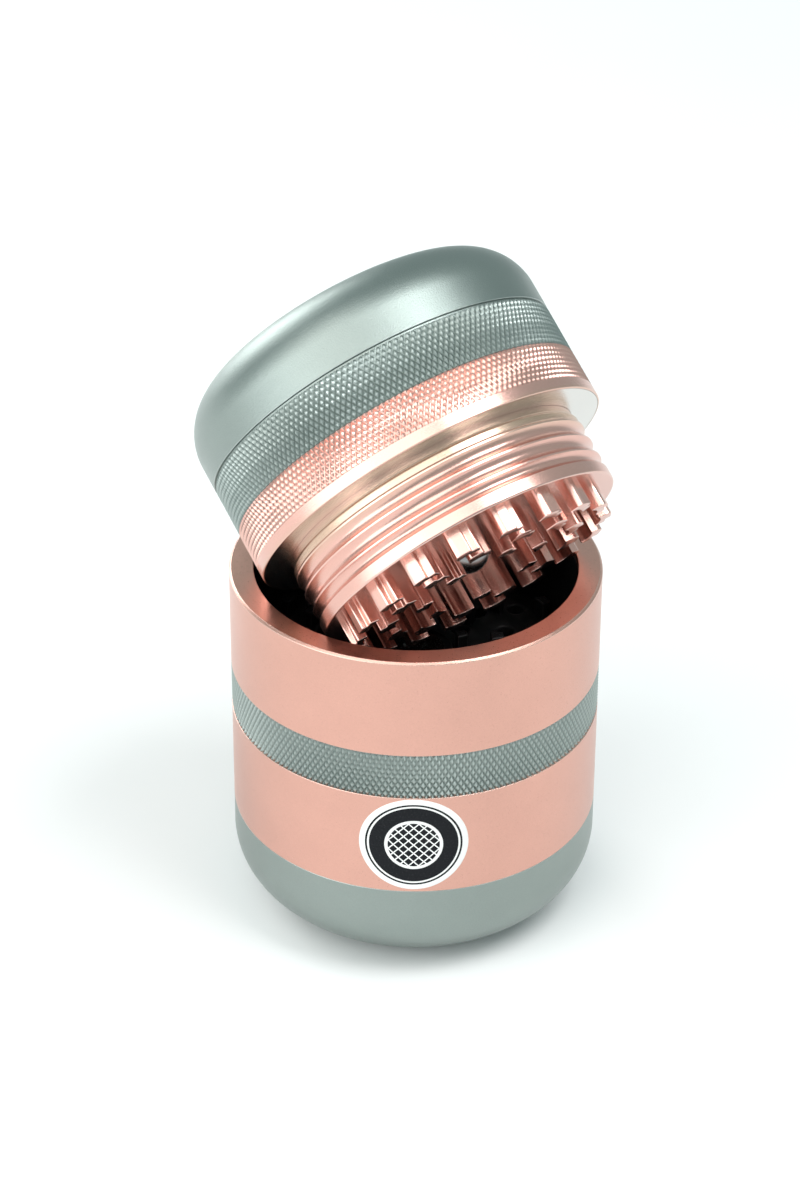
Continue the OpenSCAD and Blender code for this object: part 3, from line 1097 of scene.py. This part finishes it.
@dataclass
class Chamber:
    """The knurled band, the black toothed disc with its liner, and the rose sleeve.

    low, seam and rim are levels from below. The joint is the press fit of band and
    sleeve, and drop is the room left over it. Rows of drop holes are radius, number and
    hole radius; rows of teeth are inner and outer radius, width, number and start.
    """

    radius: float
    low: float
    seam: float
    rim: float
    bore: float
    plate_low: float = 43.3
    plate_t: float = 3.1
    liner_t: float = 0.65
    shelf: float = 25.0
    joint_r: float = 29.7
    joint_h: float = 5.0
    drop: float = 1.3
    chamfer: float = 0.35
    gap: float = 0.05
    ledge_drop: float = 1.5
    boss: float = 6.0
    magnet: float = 5.1
    steps: int = 504
    holes: tuple[tuple[float, int, float], ...] = ((22.9, 18, 1.5), (17.2, 14, 1.6), (11.0, 8, 1.5))
    teeth: tuple[tuple[float, float, float, int, float], ...] = (
        (24.7, 26.6, 3.0, 12, 0),
        (19.4, 21.0, 3.0, 10, 9),
        (13.0, 15.2, 2.8, 8, 5),
        (7.2, 9.1, 2.4, 4, 12),
    )
    tooth_h: float = 3.2
    knurl: Knurl = Knurl()

    def band(self) -> list[Shell]:
        """The knurled band: a turned ring with a spigot below and a tube above."""
        core = self.radius - self.knurl.depth - KNURL_CORE
        pocket, foot = self.bore + self.liner_t + self.gap, self.low - JOINT.spigot
        outline = section(
            eased([
                (JOINT.male + 0.4, self.low, 0),
                (core, self.low, 0),
                (core, self.seam, 0),
                (self.joint_r, self.seam, 0),
                (self.joint_r, self.seam + self.joint_h, 0.3),
                (pocket, self.seam + self.joint_h, 0.2),
                (pocket, self.plate_low, 0),
                (self.shelf, self.plate_low, 0.2),
                (self.shelf, foot, 0.2),
                (JOINT.male - 0.5, foot, 0),
            ]),
            JOINT.hanging(foot, self.low),
        )
        diamonds = self.knurl.ring(self.radius, self.low + SEAM, self.seam - SEAM)
        return [lathe(outline, 256), diamonds]

    def sleeve(self) -> Rows:
        """The sleeve's section, with a chamfer round its mouth."""
        pocket, joint = self.bore + self.liner_t + self.gap, self.joint_r + self.gap
        ledge, step = self.rim - self.ledge_drop, self.seam + self.joint_h + self.drop
        return section(eased([
            (joint, self.seam, 0.1),
            (self.radius, self.seam, 0.12),
            (self.radius, self.rim - self.chamfer, 0.08),
            (self.radius - self.chamfer, self.rim, 0.08),
            (self.bore + 0.12, self.rim, 0.05),
            (self.bore, self.rim - 0.12, 0.05),
            (self.bore, ledge, 0.1),
            (pocket, ledge, 0),
            (pocket, step, 0),
            (joint, step, 0.1),
        ], closed=True))

    def disc(self) -> list[Shell]:
        """The toothed disc: rings of drop holes between plain rings, a boss and its teeth."""
        z0, z1 = self.plate_low, self.plate_low + self.plate_t
        shells, edges = [], [self.bore + self.liner_t]
        for middle, count, hole in self.holes:
            inner, outer = middle - hole - 0.5, middle + hole + 0.5
            shells.append(perforated(inner, outer, count, hole, z0, z1, self.steps))
            edges += [outer, inner]
        edges.append(self.boss)
        for outer, inner in zip(edges[::2], edges[1::2]):
            ring = [(inner, z0, 0), (outer, z0, 0), (outer, z1, 0), (inner, z1, 0)]
            shells.append(lathe(section(np.array(ring)), self.steps))
        floor, hub, wall = z1 - 1, z1 + 1.4, self.magnet - 0.1
        boss = eased([
            (wall, z0, 0), (self.boss + 0.2, z0, 0), (self.boss + 0.4, z1, 0),
            (self.boss + 0.4, hub, 0.3), (wall, hub, 0.2), (wall, floor, 0),
        ], closed=True)
        seat = [[0, z0, 0], [self.magnet, z0, 0], [self.magnet, floor, 0], [0, floor, 0]]
        shells += [lathe(section(boss), 96), lathe(section(np.array(seat)), 96, poles=True)]
        for r_in, r_out, width, count, start in self.teeth:
            wedge = eased([
                (r_in, -width / 2, 0.3), (r_out, -width * 0.3, 0.25),
                (r_out, width * 0.3, 0.25), (r_in, width / 2, 0.3),
            ], closed=True)
            tooth = prism(wedge, z1 - 0.3, z1 + self.tooth_h, 0.3)
            shells.append(around(tooth, count, start))
        return shells

    def liner(self) -> Rows:
        """The section of the thin black wall."""
        low, outer = self.plate_low + self.plate_t, self.bore + self.liner_t
        high = self.rim - self.ledge_drop - 0.1
        return section(eased([
            (self.bore, low, 0), (outer, low, 0), (outer, high, 0.1), (self.bore, high, 0.15),
        ], closed=True))

    def build(self) -> None:
        """Makes the chamber's pieces and dresses its magnet and seal."""
        sleeve, liner = lathe(self.sleeve(), 320), lathe(self.liner(), 256)
        for name, finish, shells, node, crease in (
            ("plate_ring_knurled", Finish.SAGE, self.band(), "plate_ring", KNURL_CREASE_DEG),
            ("sleeve_turned", Finish.ROSE, [sleeve], "chamber_sleeve", CREASE_DEG),
            ("toothed_disc", Finish.BLACK, self.disc(), "tooth_plate", CREASE_DEG),
            ("liner_turned", Finish.BLACK, [liner], "chamber_liner", CREASE_DEG),
        ):
            Piece(name, "chamber", finish, shells, node, crease_deg=crease).build()
        dress(UPRIGHT, plate_magnet=Finish.NICKEL, sleeve_seal=Finish.RUBBER)


@dataclass(frozen=True)
class Tooth:
    """One kind of tooth of the grinding head: a block with a rounded post and a hollow back."""

    inner: float
    outer: float
    width: float
    count: int
    start: float

    def outline(self) -> Rows:
        """The tooth's outline: its outer corner is stepped, its inner side is scooped out."""
        w, step = self.width, (self.outer - self.inner) * 0.36
        scoop = arc(self.inner - w * 0.62, -w * 0.1, w * 0.8, w * 0.8, 36, -27, 7)
        scoop[:, 2] = 0.04
        return eased([
            (self.inner + w * 0.073, -w / 2, 0.12),
            (self.outer, -w / 2, w * 0.3),
            (self.outer, w * 0.16, 0.22),
            (self.outer - step, w * 0.2, 0.18),
            (self.outer - step, w / 2, 0.3),
            (self.inner, w / 2, 0.5),
            (self.inner, w * 0.4056, 0.05),
            *scoop.tolist(),
        ], closed=True)

    def ring(self, face: float, length: float) -> Shell:
        """All the teeth of this kind, standing down from the face."""
        tooth = prism(self.outline(), face + 0.4, face - length, 0.12)
        return around(tooth, self.count, self.start)


@dataclass
class Lid:
    """The grinding head with its ringed plug and teeth, and the cap that closes its store.

    Heights are from the seam between head and cap along the lid's axis, and levels
    below it are negative. The head has its knurled band, lip, plug, glide ring's seat,
    land, grooves, ball socket, keeper seat and store; the cap has its band, straight
    side, rounded edge, crown, roof and bore.
    """

    radius: float
    cap_top: float
    tooth_h: float = 4.1
    knurl_h: float = 6.6
    lip_h: float = 2.05
    plug_h: float = 13.25
    plug_r: float = 26.93
    glide_t: float = 0.8
    glide_r: float = 31.2
    land: float = 2.1
    ring_pitch: float = 2.85
    groove: float = 0.72
    socket: float = 4.05
    keeper: float = 5.45
    store: float = 24.4
    store_floor: float = 7.2
    cap_knurl_h: float = 8.4
    side_h: float = 13.6
    edge_w: float = 9.0
    crown: float = 0.8
    roof: float = 3.2
    cap_bore: float = 26.0
    knurl: Knurl = Knurl()
    teeth: tuple[Tooth, ...] = (
        Tooth(21.4, 24.2, 4.2, 18, 2.3),
        Tooth(15.6, 19.0, 3.9, 13, 9),
        Tooth(9.6, 12.4, 3.2, 7, 20),
    )
    spin: float = 4.7

    @property
    def crest(self) -> float:
        """Radius of the narrow crests between the plug's grooves."""
        return self.plug_r - 0.04

    @property
    def core(self) -> float:
        """Radius of the turned core under the diamonds."""
        return self.radius - self.knurl.depth - KNURL_CORE

    @property
    def face(self) -> float:
        """Level of the plug's end face."""
        return -(self.knurl_h + self.lip_h) - self.plug_h

    def grooves(self, low: float) -> Rows:
        """The plug's rings: hollow grooves between narrow crests.

        In one groove the radius is crest - depth * sin(pi t)^0.8 for t from 0 to 1, so
        the flanks are steep and the floor is broad.

        Args:
            low: the height of the land's upper edge.
        Returns:
            Rows from the land up to the last crest.
        """
        t, land, wear = np.linspace(0, 1, 15), 0.3, 0.9
        radius = self.crest - self.groove * np.sin(np.pi * t) ** 0.8
        parts, level = [], low
        for share in (0.85, 1.0, 1.0):
            reach = self.ring_pitch * share - land
            hollow = np.stack([radius, level + reach * t, 0 * t], 1)
            parts += [hollow, np.array([[self.crest, level + reach + land / 2, wear]])]
            level += self.ring_pitch * share
        return np.concatenate(parts)

    def plug(self) -> Rows:
        """The head's section up to the knurled band, from the ball's socket outwards."""
        lip, glide = self.face + self.plug_h, self.face + self.plug_h + self.glide_t
        land = self.face + self.land
        rings = self.grooves(land)
        last, neck_r, root_r = rings[-1, 1] + 0.15, self.crest - 0.28, self.plug_r - 0.75
        mouth = math.sqrt(self.socket**2 - (self.face - self.ball_level()) ** 2)
        foot = eased([
            (mouth, self.face, 0),
            (self.plug_r, self.face, 0.35),
            (self.plug_r, land, 0.05),
            (self.crest, land + 0.05, 0),
        ])
        neck = eased([
            (self.crest, last, 0),
            (neck_r, last + 0.3, 0.1),
            (neck_r, last + 1.45, 0.1),
            (root_r, last + 1.8, 0.2),
            (root_r, glide, 0),
            (self.glide_r, glide, 0),
            (self.glide_r, lip, 0),
            (self.radius - 0.15, lip, 0.04),
            (self.radius, lip + 0.15, 0.04),
            (self.radius, -self.knurl_h - SEAM, 0),
        ])
        return np.concatenate([foot, rings, neck])

    def ball_level(self) -> float:
        """Height of the ball's middle in the lid's frame."""
        lo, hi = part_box("pivot_ball")
        return LID.axes.col[2].dot((lo + hi) / 2 - LID.origin) / MM

    def head(self) -> list[Shell]:
        """The grinding head: its turned body, its diamonds and three rings of teeth."""
        ball, floor = self.ball_level(), self.face + self.store_floor
        seat = ball + 1.0
        band = [[self.core, -self.knurl_h - SEAM, 0], [self.core, 0, 0], [JOINT.male + 0.4, 0, 0]]
        store = eased([
            (JOINT.male - 0.5, JOINT.spigot, 0),
            (self.store, JOINT.spigot, 0.2),
            (self.store, floor, 0.4),
            (self.keeper, floor, 0),
            (self.keeper, seat, 0),
        ])
        ends = [math.degrees(math.asin((z - ball) / self.socket)) for z in (seat, self.face)]
        cup = arc(0, ball, self.socket, self.socket, *ends, 14)[:-1]
        outline = section(self.plug(), np.array(band), JOINT.standing(), store, cup)
        diamonds = self.knurl.ring(self.radius, -self.knurl_h, -2 * SEAM)
        teeth = [around(kind.ring(self.face, self.tooth_h), 1, self.spin) for kind in self.teeth]
        return [lathe(outline, 288), diamonds, *teeth]

    def cap(self) -> list[Shell]:
        """The cap: a turned bell, whose side swells into a low crown, and its diamonds."""
        edge_r, side, rest_r = self.radius - self.edge_w, self.side_h, self.radius - 0.36
        band, bend = self.cap_knurl_h, 6
        edge_h = self.cap_top - self.crown - side
        ledge = JOINT.spigot + JOINT.ledge
        roof = self.cap_top - self.roof
        inside = section(
            np.array([[0, roof, 0]]),
            arc(self.cap_bore - bend, roof - bend, bend, bend, 90, 0, 14),
            np.array([[self.cap_bore, ledge + 0.2, 0.3], [self.cap_bore + 0.2, ledge, 0.3]]),
            JOINT.socket(0, up=False)[::-1],
        )
        seam = section(eased([
            (self.core, 0, 0),
            (self.core, band + SEAM, 0),
            (rest_r, band + SEAM, 0),
            (rest_r, band + 0.3, 0),
            (self.radius, band + 0.42, 0.1),
            (self.radius, side, 0),
        ]))
        shoulder = arc(edge_r, side, self.edge_w, edge_h, 2, 88, 44)
        t = np.linspace(0.04, 1, 16)
        level = side + edge_h + self.crown * (1 - (1 - t) ** 2)
        crown = np.stack([edge_r * (1 - t), level, 0 * t], 1)
        diamonds = self.knurl.ring(self.radius, 2 * SEAM, band)
        return [lathe(section(inside, seam, shoulder, crown), 288, poles=True), diamonds]

    def build(self) -> None:
        """Makes the head and the cap, and dresses the ball, keeper, glide ring and seal."""
        for name, body, finish, shells, node in (
            ("head_cut", "head", Finish.ROSE_CUT, self.head(), "grinding_head"),
            ("cap_turned", "cap", Finish.SAGE, self.cap(), "lid_cap"),
        ):
            Piece(name, body, finish, shells, node, LID, KNURL_CREASE_DEG).build()
        dress(
            LID,
            glide_ring=Finish.BARE,
            pivot_ball=Finish.NICKEL,
            ball_keeper=Finish.STEEL,
            storage_seal=Finish.RUBBER,
        )


# ---------------------------------------------------------------- studio


@dataclass(frozen=True)
class Softbox:
    """A square studio light that looks at the object."""

    name: str
    azimuth: float
    elevation: float
    distance: float
    size: float
    power: float
    colour: Colour = (1, 1, 1)

    def build(self, target: Vector) -> None:
        """Hangs the light round the target; azimuth 0 is the camera's side."""
        a, e = math.radians(self.azimuth), math.radians(self.elevation)
        away = Vector((math.sin(a) * math.cos(e), -math.cos(a) * math.cos(e), math.sin(e)))
        data = bpy.data.lights.new(self.name, "AREA")
        data.shape, data.size = "SQUARE", self.size
        data.energy, data.color = self.power, self.colour
        lamp = bpy.data.objects.new(self.name, data)
        lamp.location = target + away * self.distance
        lamp.rotation_mode = "QUATERNION"
        lamp.rotation_quaternion = (-away).to_track_quat("-Z", "Y")
        bpy.context.scene.collection.objects.link(lamp)


@dataclass
class Studio:
    """The camera, the pale floor and the soft lights.

    Lengths are in metres, angles in degrees, and the lens in millimetres on a 36 mm
    sensor.
    """

    distance: float = 0.557
    elevation: float = 30.98
    roll: float = 0.45
    lens: float = 99.15
    shift: tuple[float, float] = (-0.01325, -0.031)
    floor: float = 3.0
    sky: Colour = (0.43, 0.52, 0.52)
    lights: tuple[Softbox, ...] = (
        Softbox("left_back", -140, 17, 1.0, 0.55, 3.9),
        Softbox("right_top", 62, 60, 0.9, 0.45, 4.4),
        Softbox("front_top", -38, 50, 1.2, 1.1, 7.6, (1.0, 0.965, 0.94)),
        Softbox("front_low", -55, 8, 1.0, 0.8, 4.5),
    )

    def build(self) -> None:
        """Sets up the whole studio round the chamber's rim."""
        target = Vector((0, 0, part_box("chamber_sleeve")[1].z))
        self._camera(target)
        self._ground()
        self._sky()
        for light in self.lights:
            light.build(target)
        bpy.context.scene.view_settings.view_transform = "Standard"

    def _camera(self, target: Vector) -> None:
        """Puts the camera at its distance and elevation, looking at the rim's middle."""
        e = math.radians(self.elevation)
        back = Vector((0, -math.cos(e), math.sin(e)))
        data = bpy.data.cameras.new("camera")
        data.lens, data.sensor_width, data.sensor_fit = self.lens, 36.0, "AUTO"
        data.shift_x, data.shift_y = self.shift
        data.clip_start, data.clip_end = 0.01, 20
        camera = bpy.data.objects.new("camera", data)
        turn = (-back).to_track_quat("-Z", "Y").to_matrix()
        spin = Matrix.Rotation(math.radians(self.roll), 3, "Z")
        seat = Matrix.Translation(target + back * self.distance)
        camera.matrix_world = seat @ (turn @ spin).to_4x4()
        bpy.context.scene.collection.objects.link(camera)
        bpy.context.scene.camera = camera

    def _ground(self) -> None:
        """Lays a round pale floor: rings of points, radius growing as t squared."""
        rings, columns = 12, 64
        q, t = np.arange(columns) / columns * TAU, np.linspace(0.02, 1, rings)[:, None] ** 2
        ring = np.stack([self.floor * t * np.cos(q), self.floor * t * np.sin(q), 0 * t * q], -1)
        points = np.concatenate([ring.reshape(-1, 3), [[0, 0, 0]]])
        inner = np.arange(columns)
        middle = np.stack([0 * inner + rings * columns, inner, (inner + 1) % columns], 1)
        faces = grid_quads(rings, columns)[:, ::-1].tolist() + middle.tolist()
        mesh = bpy.data.meshes.new("floor")
        mesh.from_pydata(points.tolist(), [], faces)
        tree = Tree("pale_floor")
        cloud = tree.noise(tree.local(UPRIGHT), 0.01, 3)
        base = tree.blend(cloud, rgba((0.86, 0.86, 0.86)), rgba((0.90, 0.90, 0.90)))
        tree.set(Base_Color=base, Roughness=0.9)
        mesh.materials.append(tree.material)
        made = bpy.data.objects.new("floor", mesh)
        bpy.context.scene.collection.objects.link(made)

    def _sky(self) -> None:
        """Surrounds the studio with an even pale light."""
        world = bpy.data.worlds.new("studio")
        world.use_nodes = True
        light = world.node_tree.nodes["Background"].inputs
        light["Color"].default_value, light["Strength"].default_value = rgba(self.sky), 1.0
        bpy.context.scene.world = world


def along_lid(node: str) -> float:
    """The furthest point of a CAD node along the lid's axis, in millimetres."""
    mesh = frame["nodes"][node].data
    flat = np.empty(len(mesh.vertices) * 3, np.float32)
    mesh.vertices.foreach_get("co", flat)
    reach = (flat.reshape(-1, 3) - np.array(LID.origin)) @ np.array(LID.axes.col[2]) / MM
    return float(reach.max())


def main() -> None:
    """Builds the studio and every sub-assembly."""
    logging.basicConfig(level=logging.INFO, format="%(name)s: %(message)s")
    Studio().build()
    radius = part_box("chamber_sleeve")[1].x / MM
    Base(radius, top("base_cup")).build()
    Collector(radius, top("base_cup"), top("collector")).build()
    seam, rim = bottom("chamber_sleeve"), top("chamber_sleeve")
    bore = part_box("chamber_liner")[1].x / MM - Chamber.liner_t
    Chamber(radius, top("collector"), seam, rim, bore).build()
    Lid(radius, along_lid("lid_cap")).build()


if __name__ == "__main__":
    main()
